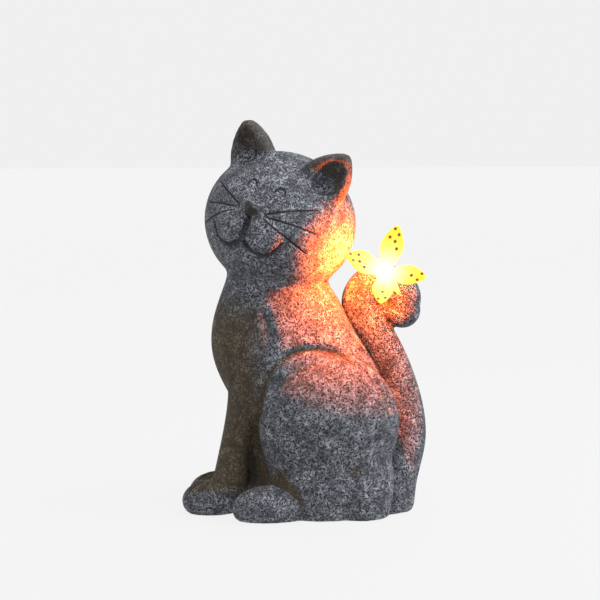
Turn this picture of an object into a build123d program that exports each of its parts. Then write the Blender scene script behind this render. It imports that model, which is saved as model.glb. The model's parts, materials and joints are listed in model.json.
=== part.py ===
from build123d import *

import math
import os

# A seated cat garden figurine, hollow cast, with a solar lamp inside and a lit butterfly on its tail.
# Millimetres, +Z up. The origin is the centre of the footprint, on the plane that the figurine stands on.
# The cat's chest points along -Y, its left side is +X, and its head is turned to its own left.

os.makedirs("parts", exist_ok=True)

# ---------------------------------------------------------------- driving dimensions
wall = 6.0  # thickness of the hollow casting
head_wall = 9.0

# torso sections: height, front y, back y, half width
torso_sections = [
    (0, -32, 54, 50),
    (18, -34, 59, 52),
    (45, -37, 61, 49),
    (70, -46, 57, 44),
    (92, -57, 50, 41),
    (114, -61, 37, 38),
    (136, -57, 25, 33),
    (150, -52, 16, 30),
    (166, -50, 16, 32),
]
rump_sections = [(0, 14, 53, 20), (20, 13, 56, 20), (44, 17, 52, 15)]
rump_x = 31.0

# head
head_centre = (3, -15.6, 190)
head_turn = 60  # degrees that the head is turned to the cat's left
head_roll = 18  # degrees that the crown leans to the cat's left
head_radius = 49.8
head_half_height = 46.0
lobe_centre = (9.5, -37.0, -3.0)  # in the head's frame: left, back, up
lobe_radius = 16.3
chin_centre = (0.0, -40.0, -17.0)
chin_radius = 9.0
nose_centre = (0.0, -48.6, 10.4)
nose_radius = 5.0
ear_base = (25.6, -12.0, 35.2)  # in the head's frame: left, back, up
ear_lean = 27.0  # degrees outwards
ear_yaw = 14.0  # degrees that an ear opens outwards
ear_half_width = 16.8
ear_height = 26.6
ear_root = 12.0  # how far the ear goes down into the head
ear_half_thickness = 5.6
ear_rim = 3.2

# legs and feet
haunch_centre = (29, 13.5, 60)
haunch_half_width = 26.0
haunch_radius = 46.0
leg_x = 14.0
leg_sections = [  # height, front y, back y, half width
    (12, -64, -38, 12.0),
    (30, -59.5, -38, 11.5),
    (51, -55, -35, 11.0),
    (73, -51.5, -29, 12.0),
    (98, -53, -25, 13.0),
]
paw_centre = (-62, 8.5)  # y and z
far_leg_back = 6.0  # how far the right front leg stands behind the left one
paw_half_length = 19.5
paw_radius = 13.5
foot_centre = (38, -25, 7.5)
foot_half_length = 25.5
foot_radius = 15.0
foot_splay = 4.0  # degrees

# tail: x, y, z and radius of its round section at each station, the first of them level
tail_stations = [
    (22.0, 50.5, 0.0, 12.0),
    (18.5, 61.0, 18.0, 12.2),
    (10.0, 68.0, 45.0, 12.3),
    (3.5, 67.0, 68.0, 12.3),
    (0.5, 61.0, 88.5, 12.2),
    (0.0, 52.0, 108.0, 12.2),
    (0.0, 42.0, 124.0, 12.2),
    (0.0, 37.4, 135.6, 12.1),
    (0.0, 41.6, 145.7, 12.1),
    (0.0, 51.7, 149.9, 12.1),
    (0.0, 61.8, 145.7, 12.1),
    (0.0, 66.0, 135.6, 12.1),
]
tail_tip = (66.0, 131.0)
tail_tip_radius = 12.1
curl_web = (52.6, 130.0)  # y and z of the web that closes the curl
curl_web_radius = 5.0
curl_web_thickness = 14.0
glue_gap = 0.15

# base plate, closing the casting
base_centre = (0.0, 13.0)
plate_radii = (41.0, 35.0)
opening_radii = (34.0, 28.0)  # of the casting's mouth
plate_bottom = 1.4
plate_top = 4.6
seal_thickness = 0.8
flange_top = 10.0
plate_gap = 0.4
screw_ring = (37.4, 31.4)
pilot_radius = 1.3
screw_radius = 1.2
screw_head_radius = 2.8

# battery, an AAA cell lying across the base
cell_radius = 5.25
cell_body_length = 43.5
cell_nub = (2.75, 1.0)  # radius and height
cell_end = 24.45
cell_y = 5.0
cell_z = 9.4
well_inner = (50.0, 11.6)
well_wall = 1.4
well_ceiling = 15.0
well_top = 16.2
contact_side = 9.0
contact_thickness = 0.4
door_size = (66.0, 17.0)
door_top = 2.9
door_recess = 3.5
door_gap = 0.3
door_screw_x = 28.8
door_corner = 3.0

# circuit board and switch
board_size = (40.0, 15.0, 1.6)
board_centre = (0.0, 25.0)
board_bottom = 16.0
post_x = 16.0
post_radius = 2.6
board_screw_radius = 1.0
button_radius = 4.2
button_bottom = 0.5
button_gap = 0.25
guide_radius = 7.2
switch_side = 7.0
switch_bottom = 12.2
plunger_radius = 1.5

# solar panel, on the right haunch
panel_point = (-43.5, 14.0, 92.0)
panel_tilt = 32.0  # degrees that it looks up
boss_side = 52.0
boss_depth = 11.0
pocket_depth = 7.0
bezel_side = 39.5
bezel_corner = 4.0
glass_side = 36.0
solar_cell_side = 34.0
lip_side = 33.0

# lamp and butterfly, on the top of the tail's hook
lamp_centre = (0.0, 51.7, 152.0)
lamp_rise = 20.0  # degrees that the lamp points up from level
lamp_surface = 11.5  # from the lamp's centre to the tail's skin
led_base = 5.3
led_radius = 2.5
led_flange_radius = 2.9
led_dome_start = 11.4
holder_radius = 3.4
lamp_bore_radius = 3.45
lead_radius = 0.9
conduit_radius = 2.2
head_angle = 119.0  # degrees, of the butterfly's head in its own plane, from the cat's back
wing_height = 17.0  # from the lamp's centre to the middle of the wings' roots
wing_lift = 30.0
wing_thickness = 1.6
fore_wing = (32.0, 8.6)  # reach and half width
hind_wing = (29.5, 7.6)
fore_spread = 45.0  # degrees from the head
hind_spread = 137.0
hub_radius = 5.5
body_half_length = 13.5
body_radius = 3.3
body_back_shift = 4.0  # the abdomen reaches further than the head


# ---------------------------------------------------------------- shapes that repeat
def spheroid(centre, half_length, radius, axis, seam=None):
    """A ball stretched or flattened along the given direction, its seam towards another."""
    corner = math.sqrt(0.5)
    with BuildPart() as ball:
        with BuildSketch(Plane.XZ):
            with BuildLine():
                Bezier((0, -half_length), (radius, -half_length), (radius, 0), weights=(1, corner, 1))
                Bezier((radius, 0), (radius, half_length), (0, half_length), weights=(1, corner, 1))
                Line((0, half_length), (0, -half_length))
            make_face()
        revolve(axis=Axis.Z)
    return Plane(origin=centre, x_dir=seam, z_dir=axis) * ball.part


def stacked(sections, centre_x=0.0, inset=0.0):
    """A loft through level ellipses, each given as height, front y, back y and half width."""
    with BuildPart() as body:
        for height, front, back, half_width in sections:
            with BuildSketch(Plane.XY.offset(height)):
                with Locations((centre_x, (front + back) / 2)):
                    Ellipse(half_width - inset, (back - front) / 2 - inset)
        loft()
    return body.part


def rounded_route(points):
    """Straight runs joined by tangent arcs as large as each pair of runs allows."""
    corners = []
    for before, here, after in zip(points, points[1:], points[2:]):
        arrive = Vector(*here) - Vector(*before)
        leave = Vector(*after) - Vector(*here)
        half_turn = math.radians(arrive.get_angle(leave)) / 2
        corners.append(0.45 * min(arrive.length, leave.length) / math.tan(half_turn))
    print("bend radii", [round(r, 1) for r in corners])
    with BuildLine() as route:
        FilletPolyline(*points, radius=corners)
    return route.line


def tube(points, radius):
    """A round wire, bore or rod along a rounded route."""
    path = rounded_route(points)
    with BuildPart() as body:
        with BuildSketch(Plane(origin=path @ 0, z_dir=path % 0)):
            Circle(radius)
        sweep(path=path)
    return body.part


def write(shape, name):
    """Labels a finished piece and writes it to its own file."""
    shape.label = name
    export_step(shape, f"parts/{name}.step")


def on_head(side, back, up):
    """A point given in the head's frame, as a point of the figurine."""
    return head_frame.from_local_coords(Vector(side, back, up))


def ear(side):
    """One ear, before its hollow."""
    with BuildPart() as body:
        with BuildSketch(Plane.XZ):
            with BuildLine():
                left_foot = (-ear_half_width, -ear_root)
                right_foot = (ear_half_width, -ear_root)
                top = (0, ear_height)
                ThreePointArc(left_foot, (-ear_half_width * 0.86, ear_height * 0.36), top)
                ThreePointArc(top, (ear_half_width * 0.86, ear_height * 0.36), right_foot)
                Line(right_foot, left_foot)
            make_face()
            fillet(vertices().sort_by(Axis.Y)[-1], 4.5)
        extrude(amount=ear_half_thickness, both=True)
        rims = body.faces().filter_by(Axis.Y).edges()
        fillet(rims.filter_by(lambda edge: edge.center().Z > -ear_root + 0.01), ear_rim)
    return ear_place(side) * body.part


def ear_place(side):
    """Where an ear's own frame lies: x across it, y backwards, z to its tip."""
    place = (side * ear_base[0], ear_base[1], ear_base[2])
    return head_frame.location * Location(place, (0, side * ear_lean, side * ear_yaw))


def ear_hollow(side):
    """The hollow in the front of one ear."""
    deep = spheroid((0, -ear_half_thickness - 1.6, ear_height * 0.3), 13.5, 8.8, (0, 0, 1))
    return ear_place(side) * deep


def tail_stem(stations, extra):
    """The tail between the given stations, swollen by a little where it makes its own seat."""
    with BuildPart() as body:
        for x, y, z, radius in stations:
            way = tail_route % tail_route.param_at_point(Vector(x, y, z))
            across = Vector(1, 0, 0) - way * way.X
            section = Plane(origin=(x, y, z), x_dir=across, z_dir=way) if z else Plane((x, y, 0))
            with BuildSketch(section):
                Circle(radius + extra)
        loft()
    return body.part


def countersunk_screw(tip):
    """A countersunk screw standing on its head at the plate's underside, with a crossed recess."""
    with BuildPart() as body:
        with BuildSketch(Plane.XZ):
            with BuildLine():
                Polyline(
                    (0, plate_bottom),
                    (screw_head_radius, plate_bottom),
                    (screw_radius, plate_bottom + screw_head_radius - screw_radius),
                    (screw_radius, tip - 1),
                    (0, tip),
                    close=True,
                )
            make_face()
        revolve(axis=Axis.Z)
        with Locations((0, 0, plate_bottom)):
            Box(3.2, 0.7, 1.4, mode=Mode.SUBTRACT)
            Box(0.7, 3.2, 1.4, mode=Mode.SUBTRACT)
    return body.part


# ---------------------------------------------------------------- frames
turn = math.radians(head_turn)
roll = math.radians(head_roll)
level_left = Vector(math.cos(turn), math.sin(turn), 0)
crown = level_left * math.sin(roll) + Vector(0, 0, math.cos(roll))
head_left = level_left * math.cos(roll) - Vector(0, 0, math.sin(roll))
head_frame = Plane(origin=head_centre, x_dir=head_left, z_dir=crown)  # x left, y back, z up

tilt = math.radians(panel_tilt)
panel_frame = Plane(
    origin=panel_point, x_dir=(0, 1, 0), z_dir=(-math.cos(tilt), 0, math.sin(tilt))
)

panel_axis = Axis(panel_point, panel_frame.z_dir)

rise = math.radians(lamp_rise)
lamp_axis = Vector(math.cos(rise), 0, math.sin(rise))
lamp_frame = Plane(origin=lamp_centre, x_dir=(0, 1, 0), z_dir=lamp_axis)
butterfly_frame = Plane(lamp_frame.location * Location((0, 0, wing_height), (0, 0, head_angle)))

with BuildLine() as tail_line:
    Spline(*[(x, y, z) for x, y, z, radius in tail_stations])
tail_route = tail_line.edges()[0]

ring_x = screw_ring[0] * math.cos(math.pi / 4)
ring_y = screw_ring[1] * math.sin(math.pi / 4)
screw_places = [
    (base_centre[0] + across * ring_x, base_centre[1] + along * ring_y)
    for across in (1, -1)
    for along in (1, -1)
]
board_top = board_bottom + board_size[2]

led_lead_points = [
    (8.0, 28.0, board_top + 0.05),
    (8.0, 28.0, 42.0),
    (2.0, 44.0, 67.0),
    (2.0, 66.2, 71.5),
    (0.0, 61.0, 88.5),
    (0.0, 52.0, 108.0),
    (0.0, 42.6, 123.5),
    (0.0, 38.6, 136.5),
    (0.0, 43.6, 146.0),
    tuple(lamp_frame.from_local_coords(Vector(0, 0, 2.2))),
]

# ---------------------------------------------------------------- cat casting
def skin_pieces():
    """The rounded forms that make the outside of the cat, without its tail."""
    pieces = [stacked(torso_sections), stacked(rump_sections, rump_x)]
    pieces.append(stacked(rump_sections, -rump_x))
    pieces.append(spheroid(head_centre, head_half_height, head_radius, crown, head_frame.y_dir))
    splay = math.radians(foot_splay)
    for side in (1, -1):
        back = far_leg_back if side < 0 else 0
        haunch = (side * haunch_centre[0], haunch_centre[1], haunch_centre[2])
        paw = (side * leg_x, paw_centre[0] + back, paw_centre[1])
        foot = (side * foot_centre[0], foot_centre[1], foot_centre[2])
        foot_way = (side * math.sin(splay), -math.cos(splay), 0)
        lobe = on_head(side * lobe_centre[0], lobe_centre[1], lobe_centre[2])
        pieces.append(spheroid(haunch, haunch_half_width, haunch_radius, (1, 0, 0)))
        pieces.append(Location((0, back, 0)) * stacked(leg_sections, side * leg_x))
        pieces.append(spheroid(paw, paw_half_length, paw_radius, (0, 1, 0)))
        pieces.append(spheroid(foot, foot_half_length, foot_radius, foot_way))
        pieces.append(Location(lobe) * Sphere(lobe_radius))
        pieces.append(ear(side))
    pieces.append(Location(on_head(*chin_centre)) * Sphere(chin_radius))
    pieces.append(Location(on_head(*nose_centre)) * Sphere(nose_radius))
    return pieces


def panel_block(side, corner, depth):
    """A square prism standing on the solar panel's plane, or sinking from it."""
    with BuildPart() as block:
        with BuildSketch(panel_frame):
            RectangleRounded(side, side, corner)
        extrude(amount=depth)
    return block.part


def hollow_pieces():
    """The rounded forms that make the empty inside of the cat."""
    lowest = (flange_top, -29, 55, 50)
    pieces = [stacked([lowest, *torso_sections[2:-1]], inset=wall)]
    inner_height = head_half_height - head_wall
    inner_radius = head_radius - head_wall
    pieces.append(spheroid(head_centre, inner_height, inner_radius, crown, head_frame.y_dir))
    for side in (1, -1):
        haunch = (side * haunch_centre[0], haunch_centre[1], haunch_centre[2])
        pieces.append(spheroid(haunch, haunch_half_width - wall, haunch_radius - wall, (1, 0, 0)))
    return pieces


def base_mouth():
    """The way into the hollow from below, the plate's rabbet and the pilot holes."""
    with BuildPart() as mouth:
        with BuildSketch(Plane.XY):
            with Locations(base_centre):
                Ellipse(*opening_radii)
        extrude(amount=flange_top + 4)
        with BuildSketch(Plane.XY):
            with Locations(base_centre):
                Ellipse(plate_radii[0] + plate_gap, plate_radii[1] + plate_gap)
        extrude(amount=plate_top + seal_thickness)
        with BuildSketch(Plane.XY):
            with Locations(*screw_places):
                Circle(pilot_radius)
        extrude(amount=flange_top + 3)
    return mouth.part


grown = skin_pieces()
carved = [ear_hollow(1), ear_hollow(-1), Location((0, 0, -50)) * Box(300, 300, 100)]
carved.append(panel_block(boss_side, bezel_corner + 6, 20))
carved += hollow_pieces()
boss = panel_block(boss_side, bezel_corner + 6, -boss_depth)
pocket = panel_block(bezel_side + 0.5, bezel_corner + 0.25, -pocket_depth)
with BuildPart() as foot_core:
    with BuildSketch(Plane.XY):
        with Locations(base_centre):
            Ellipse(plate_radii[0] + 4.0, plate_radii[1] + 4.0)
    extrude(amount=16)
tail_seat = tail_stem(tail_stations, glue_gap) - foot_core.part
conduit = tube(led_lead_points, conduit_radius)
mouth = base_mouth()
with BuildPart() as cat_casting:
    for piece in grown:
        add(piece, clean=False)
    for piece in carved:
        add(piece, mode=Mode.SUBTRACT, clean=False)
    add(boss, clean=False)
    add(pocket, mode=Mode.SUBTRACT, clean=False)
    with BuildSketch(panel_frame):
        Circle(conduit_radius)
    extrude(amount=-boss_depth - 20, mode=Mode.SUBTRACT, clean=False)
    for piece in (tail_seat, conduit, mouth):
        add(piece, mode=Mode.SUBTRACT, clean=False)
write(cat_casting.part, "cat_casting")

# ---------------------------------------------------------------- tail casting
whole_stem = tail_stem(tail_stations, 0)
with BuildPart() as tail_casting:
    with Locations((0, tail_tip[0], tail_tip[1])):
        Sphere(tail_tip_radius)
    with Locations((0, curl_web[0], curl_web[1])):
        Cylinder(curl_web_radius, curl_web_thickness, rotation=(0, 90, 0))
    add(whole_stem)
    with BuildSketch(Plane.XY):
        with Locations(base_centre):
            Ellipse(plate_radii[0] + 4.0 + glue_gap, plate_radii[1] + 4.0 + glue_gap)
    extrude(amount=16 + glue_gap, mode=Mode.SUBTRACT)
    add(conduit, mode=Mode.SUBTRACT)
    with BuildSketch(lamp_frame.offset(2.0)):
        Circle(lamp_bore_radius)
    extrude(amount=14, mode=Mode.SUBTRACT)
write(tail_casting.part, "tail_casting")

# ---------------------------------------------------------------- base plate
with BuildPart() as base_plate:
    with BuildSketch(Plane.XY.offset(plate_bottom)):
        with Locations(base_centre):
            Ellipse(*plate_radii)
    extrude(amount=plate_top - plate_bottom)
    # battery well, door screw bosses, board posts and the button's guide
    with BuildSketch(Plane.XY.offset(plate_top)):
        with Locations((0, cell_y)):
            Rectangle(well_inner[0] + 2 * well_wall, well_inner[1] + 2 * well_wall)
    extrude(amount=well_top - plate_top)
    with BuildSketch(Plane.XY.offset(plate_top)):
        with Locations((door_screw_x, cell_y), (-door_screw_x, cell_y)):
            Circle(3.0)
    extrude(amount=5.4)
    with BuildSketch(Plane.XY.offset(plate_top)):
        with Locations((post_x, board_centre[1]), (-post_x, board_centre[1])):
            Circle(post_radius)
    extrude(amount=board_bottom - plate_top)
    with BuildSketch(Plane.XY.offset(plate_top)):
        with Locations(board_centre):
            Circle(guide_radius)
    extrude(amount=3.4)
    # openings
    with BuildSketch(Plane.XY.offset(plate_bottom)):
        with Locations((0, cell_y)):
            Rectangle(*well_inner)
    extrude(amount=well_ceiling - plate_bottom, mode=Mode.SUBTRACT)
    with BuildSketch(Plane.XY.offset(plate_bottom)):
        with Locations((0, cell_y)):
            RectangleRounded(
                door_size[0] + 2 * door_gap, door_size[1] + 2 * door_gap, door_corner + door_gap
            )
    extrude(amount=door_recess - plate_bottom, mode=Mode.SUBTRACT)
    with BuildSketch(Plane.XY.offset(well_ceiling - 1)):
        with Locations((24.7, cell_y), (-24.7, cell_y)):
            Rectangle(0.8, 3.6)
    extrude(amount=3, mode=Mode.SUBTRACT)
    with BuildSketch(Plane.XY.offset(plate_bottom)):
        with Locations((door_screw_x, cell_y), (-door_screw_x, cell_y)):
            Circle(pilot_radius)
    extrude(amount=7.8, mode=Mode.SUBTRACT)
    with BuildSketch(Plane.XY.offset(8.0)):
        with Locations((post_x, board_centre[1]), (-post_x, board_centre[1])):
            Circle(board_screw_radius + 0.05)
    extrude(amount=10, mode=Mode.SUBTRACT)
    with BuildSketch(Plane.XY.offset(plate_bottom)):
        with Locations(board_centre):
            Circle(button_radius + button_gap)
    extrude(amount=8, mode=Mode.SUBTRACT)
    with BuildSketch(Plane.XY.offset(plate_top)):
        with Locations(board_centre):
            Circle(guide_radius - 1.3)
    extrude(amount=4, mode=Mode.SUBTRACT)
    with Locations(*[(x, y, plate_bottom) for x, y in screw_places]):
        Cone(
            screw_head_radius + 0.1,
            screw_radius + 0.1,
            screw_head_radius - screw_radius,
            align=(Align.CENTER, Align.CENTER, Align.MIN),
            mode=Mode.SUBTRACT,
        )
        Cylinder(
            screw_radius + 0.1,
            4,
            align=(Align.CENTER, Align.CENTER, Align.MIN),
            mode=Mode.SUBTRACT,
        )
write(base_plate.part, "base_plate")

with BuildPart() as base_seal:
    with BuildSketch(Plane.XY.offset(plate_top)):
        with Locations(base_centre):
            Ellipse(plate_radii[0], plate_radii[1])
            Ellipse(opening_radii[0] + 0.6, opening_radii[1] + 0.6, mode=Mode.SUBTRACT)
        with Locations(*screw_places):
            Circle(screw_radius + 0.3, mode=Mode.SUBTRACT)
    extrude(amount=seal_thickness)
write(base_seal.part, "base_seal")

plate_screw = countersunk_screw(flange_top - 0.6)
with BuildPart() as base_plate_screws:
    with Locations(*screw_places):
        add(plate_screw)
write(base_plate_screws.part, "base_plate_screws")

# ---------------------------------------------------------------- battery door
with BuildPart() as battery_door:
    with BuildSketch(Plane.XY.offset(plate_bottom)):
        with Locations((0, cell_y)):
            RectangleRounded(*door_size, door_corner)
    extrude(amount=door_top - plate_bottom)
    # a raised tongue that keeps the cell in place, and the countersinks
    with BuildSketch(Plane.XY.offset(door_top)):
        with Locations((0, cell_y)):
            Rectangle(30, 6)
    extrude(amount=1.0)
    with Locations(*[(x, cell_y, plate_bottom) for x in (door_screw_x, -door_screw_x)]):
        Cone(
            screw_head_radius + 0.1,
            screw_radius + 0.1,
            screw_head_radius - screw_radius,
            align=(Align.CENTER, Align.CENTER, Align.MIN),
            mode=Mode.SUBTRACT,
        )
    # grip lines across the middle of its outer face
    with BuildSketch(Plane.XY.offset(plate_bottom)):
        with Locations(*[(x, cell_y) for x in (-6, -3, 0, 3, 6)]):
            SlotOverall(11, 1.2, rotation=90)
    extrude(amount=0.5, mode=Mode.SUBTRACT)
write(battery_door.part, "battery_door")

door_screw = countersunk_screw(7.6)
with BuildPart() as battery_door_screws:
    with Locations((door_screw_x, cell_y), (-door_screw_x, cell_y)):
        add(door_screw)
write(battery_door_screws.part, "battery_door_screws")

with BuildPart() as battery_door_seal:
    with BuildSketch(Plane.XY.offset(door_top)):
        with Locations((0, cell_y)):
            Rectangle(54.4, 15.6)
            Rectangle(51.4, 12.6, mode=Mode.SUBTRACT)
    extrude(amount=0.5)
write(battery_door_seal.part, "battery_door_seal")

# ---------------------------------------------------------------- battery and contacts
with BuildPart() as battery_cell:
    nub_start = cell_end - cell_nub[1]
    with BuildSketch(Plane.YZ.offset(nub_start - cell_body_length)):
        with Locations((cell_y, cell_z)):
            Circle(cell_radius)
    extrude(amount=cell_body_length)
    fillet(battery_cell.edges().filter_by(GeomType.CIRCLE), 0.6)
    with BuildSketch(Plane.YZ.offset(nub_start)):
        with Locations((cell_y, cell_z)):
            Circle(cell_nub[0])
    extrude(amount=cell_nub[1])
write(battery_cell.part, "battery_cell")

with BuildPart() as battery_positive_contact:
    with Locations((24.7, cell_y, cell_z)):
        Box(contact_thickness, contact_side, contact_side)
    with Locations((24.7, cell_y, 15.8)):
        Box(contact_thickness, 3.0, 3.8)
write(battery_positive_contact.part, "battery_positive_contact")

coil_wire_radius = 0.3
coil_plane = Plane(origin=(-24.45, cell_y, cell_z), x_dir=(1, 0, 0), z_dir=(0, -1, 0))
with BuildPart() as battery_negative_spring:
    with Locations((-24.7, cell_y, cell_z)):
        Box(contact_thickness, contact_side, contact_side)
    with Locations((-24.7, cell_y, 15.8)):
        Box(contact_thickness, 3.0, 3.8)
    with BuildSketch(coil_plane):
        for turn in range(8):
            with Locations((0.1 + 0.5 * turn, 3.4 - 0.2 * turn)):
                Circle(coil_wire_radius)
    revolve(axis=Axis(coil_plane.origin, (1, 0, 0)))
write(battery_negative_spring.part, "battery_negative_spring")

# ---------------------------------------------------------------- circuit board
with BuildPart() as circuit_board:
    with BuildSketch(Plane.XY.offset(board_bottom)):
        with Locations(board_centre):
            RectangleRounded(board_size[0], board_size[1], 1.5)
        with Locations((post_x, board_centre[1]), (-post_x, board_centre[1])):
            Circle(board_screw_radius + 0.2, mode=Mode.SUBTRACT)
    extrude(amount=board_size[2])
write(circuit_board.part, "circuit_board")

with BuildPart() as circuit_board_screws:
    with BuildSketch(Plane.XY.offset(board_top)):
        with Locations((post_x, board_centre[1]), (-post_x, board_centre[1])):
            Circle(1.9)
    extrude(amount=1.2)
    with BuildSketch(Plane.XY.offset(10)):
        with Locations((post_x, board_centre[1]), (-post_x, board_centre[1])):
            Circle(board_screw_radius)
    extrude(amount=board_top - 10)
    with Locations(*[(x, board_centre[1], board_top + 1.2) for x in (post_x, -post_x)]):
        Box(2.6, 0.5, 1.2, mode=Mode.SUBTRACT)
write(circuit_board_screws.part, "circuit_board_screws")

with BuildPart() as charge_controller_chip:
    with Locations((-4, 23, board_top + 0.95)):
        Box(4.9, 3.9, 1.5)
    pins = [(-4 + 1.27 * step, 23 + row * 2.5) for step in (-1.5, -0.5, 0.5, 1.5) for row in (1, -1)]
    with Locations(*[(x, y, board_top + 0.35) for x, y in pins]):
        Box(0.4, 1.2, 0.7)
write(charge_controller_chip.part, "charge_controller_chip")

with BuildPart() as inductor:
    with Locations((3.2, 21.8, board_top)):
        Cylinder(2.3, 4.0, align=(Align.CENTER, Align.CENTER, Align.MIN))
    with Locations((3.2, 21.8, board_top + 2)):
        Torus(2.6, 0.7, mode=Mode.SUBTRACT)
write(inductor.part, "inductor")

with BuildPart() as capacitor:
    with Locations((10.2, 21.8, board_top)):
        Cylinder(2.5, 7.0, align=(Align.CENTER, Align.CENTER, Align.MIN))
    fillet(capacitor.edges().sort_by(Axis.Z)[-1], 0.4)
write(capacitor.part, "capacitor")

# ---------------------------------------------------------------- switch and button
with BuildPart() as switch_housing:
    with BuildSketch(Plane.XY.offset(switch_bottom)):
        with Locations(board_centre):
            Rectangle(switch_side, switch_side)
    extrude(amount=board_bottom - switch_bottom)
    with BuildSketch(Plane.XY.offset(switch_bottom)):
        with Locations(board_centre):
            Circle(plunger_radius + 0.08)
    extrude(amount=3.2, mode=Mode.SUBTRACT)
write(switch_housing.part, "switch_housing")

with BuildPart() as power_button:
    with BuildSketch(Plane.XY.offset(button_bottom)):
        with Locations(board_centre):
            Circle(button_radius)
    extrude(amount=plate_top + 0.1 - button_bottom)
    fillet(power_button.edges().sort_by(Axis.Z)[0], 0.6)
    with BuildSketch(Plane.XY.offset(plate_top + 0.1)):
        with Locations(board_centre):
            Circle(5.4)
    extrude(amount=0.9)
    with BuildSketch(Plane.XY.offset(plate_top + 1.0)):
        with Locations(board_centre):
            Circle(plunger_radius + 0.2)
    extrude(amount=3.3)
write(power_button.part, "power_button")

with BuildPart() as switch_plunger:
    with BuildSketch(Plane.XY.offset(plate_top + 4.3)):
        with Locations(board_centre):
            Circle(plunger_radius)
    extrude(amount=4.8)
write(switch_plunger.part, "switch_plunger")

with BuildPart() as button_boot:
    with BuildSketch(Plane.XY.offset(5.2)):
        with Locations(board_centre):
            Circle(guide_radius + 0.9)
            Circle(guide_radius + 0.05, mode=Mode.SUBTRACT)
    extrude(amount=2.85)
    with BuildSketch(Plane.XY.offset(8.05)):
        with Locations(board_centre):
            Circle(guide_radius + 0.9)
            Circle(plunger_radius + 0.5, mode=Mode.SUBTRACT)
    extrude(amount=0.7)
write(button_boot.part, "button_boot")

# ---------------------------------------------------------------- solar panel
with BuildPart() as solar_panel_bezel:
    with BuildSketch(panel_frame.offset(0.4)):
        RectangleRounded(bezel_side, bezel_side, bezel_corner)
    extrude(amount=-7.2)
    fillet(solar_panel_bezel.faces().sort_by(panel_axis)[-1].edges(), 0.5)
    with BuildSketch(panel_frame.offset(1)):
        RectangleRounded(lip_side, lip_side, 1.5)
    extrude(amount=-8, mode=Mode.SUBTRACT)
    with BuildSketch(panel_frame.offset(-0.8)):
        Rectangle(glass_side + 0.2, glass_side + 0.2)
    extrude(amount=-7, mode=Mode.SUBTRACT)
write(solar_panel_bezel.part, "solar_panel_bezel")


def panel_slab(name, side, top, bottom):
    """A square layer of the solar panel between two depths."""
    with BuildPart() as slab:
        with BuildSketch(panel_frame.offset(top)):
            Rectangle(side, side)
        extrude(amount=bottom - top)
    write(slab.part, name)


panel_slab("solar_panel_cover", glass_side, -0.85, -2.6)
panel_slab("solar_cell", solar_cell_side, -2.65, -3.0)
panel_slab("solar_cell_board", glass_side, -3.05, -4.4)

with BuildPart() as solar_panel_sealant:
    with BuildSketch(panel_frame.offset(-4.45)):
        Rectangle(glass_side, glass_side)
        Rectangle(glass_side - 8, glass_side - 8, mode=Mode.SUBTRACT)
    extrude(amount=-2.5)
write(solar_panel_sealant.part, "solar_panel_sealant")

# ---------------------------------------------------------------- lamp
with BuildPart() as led_lamp:
    with BuildSketch(lamp_frame.offset(led_base)):
        Circle(led_flange_radius)
    extrude(amount=1.0)
    with BuildSketch(lamp_frame.offset(led_base + 1.0)):
        Circle(led_radius)
    extrude(amount=led_dome_start - led_base - 1.0)
    with Locations(lamp_frame.offset(led_dome_start)):
        Sphere(led_radius, arc_size1=0)
write(led_lamp.part, "led_lamp")

with BuildPart() as led_pins:
    with BuildSketch(lamp_frame.offset(2.4)):
        with Locations((0, 1.27), (0, -1.27)):
            Rectangle(0.5, 0.5)
    extrude(amount=led_base - 2.4)
write(led_pins.part, "led_pins")

with BuildPart() as led_holder:
    with BuildSketch(lamp_frame.offset(led_base + 1.05)):
        Circle(holder_radius)
        Circle(led_radius + 0.05, mode=Mode.SUBTRACT)
    extrude(amount=4.8)
write(led_holder.part, "led_holder")

# ---------------------------------------------------------------- butterfly
def petal(reach, half_width, spread):
    """One wing, lifted from the hub, as a rounded blade that narrows to its root."""
    with BuildPart() as wing:
        with BuildSketch():
            with BuildLine():
                wide = reach * 0.62
                Spline(
                    (0, 0),
                    (wide * 0.5, half_width * 0.72),
                    (wide, half_width),
                    (reach, 0),
                    (wide, -half_width),
                    (wide * 0.5, -half_width * 0.72),
                    periodic=True,
                )
            make_face()
        extrude(amount=wing_thickness / 2, both=True)
    turned = butterfly_frame.location * Location((0, 0, 0), (0, 0, spread))
    return turned * Location((0, 0, 0), (0, -wing_lift, 0)) * wing.part


def butterfly_trunk(extra):
    """The butterfly's body, flat underneath, swollen by a little where the wings make room."""
    seat = wing_thickness / 2 + 0.1
    middle = (-body_back_shift, 0, seat)
    whole = spheroid(middle, body_half_length + extra, body_radius + extra, (1, 0, 0))
    upper = split(whole, bisect_by=Plane.XY.offset(seat - extra))
    return butterfly_frame.location * upper


wings = [petal(*fore_wing, side * fore_spread) for side in (1, -1)]
wings += [petal(*hind_wing, side * hind_spread) for side in (1, -1)]
trunk_room = butterfly_trunk(0.1)
with BuildPart() as butterfly_wings:
    for wing in wings:
        add(wing)
    hub_foot = lamp_surface + 0.1 - wing_height
    with BuildSketch(butterfly_frame.offset(hub_foot)):
        Circle(hub_radius)
    extrude(amount=wing_thickness / 2 - hub_foot)
    add(trunk_room, mode=Mode.SUBTRACT)
    with BuildSketch(butterfly_frame.offset(hub_foot)):
        Circle(led_radius + 0.3)
    extrude(amount=3.2, mode=Mode.SUBTRACT)
write(butterfly_wings.part, "butterfly_wings")

trunk = butterfly_trunk(0)
with BuildPart() as butterfly_body:
    add(trunk)
write(butterfly_body.part, "butterfly_body")

# ---------------------------------------------------------------- leads
led_wire = tube(led_lead_points, lead_radius)
with BuildPart() as led_leads:
    add(led_wire)
write(led_leads.part, "led_leads")

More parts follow.
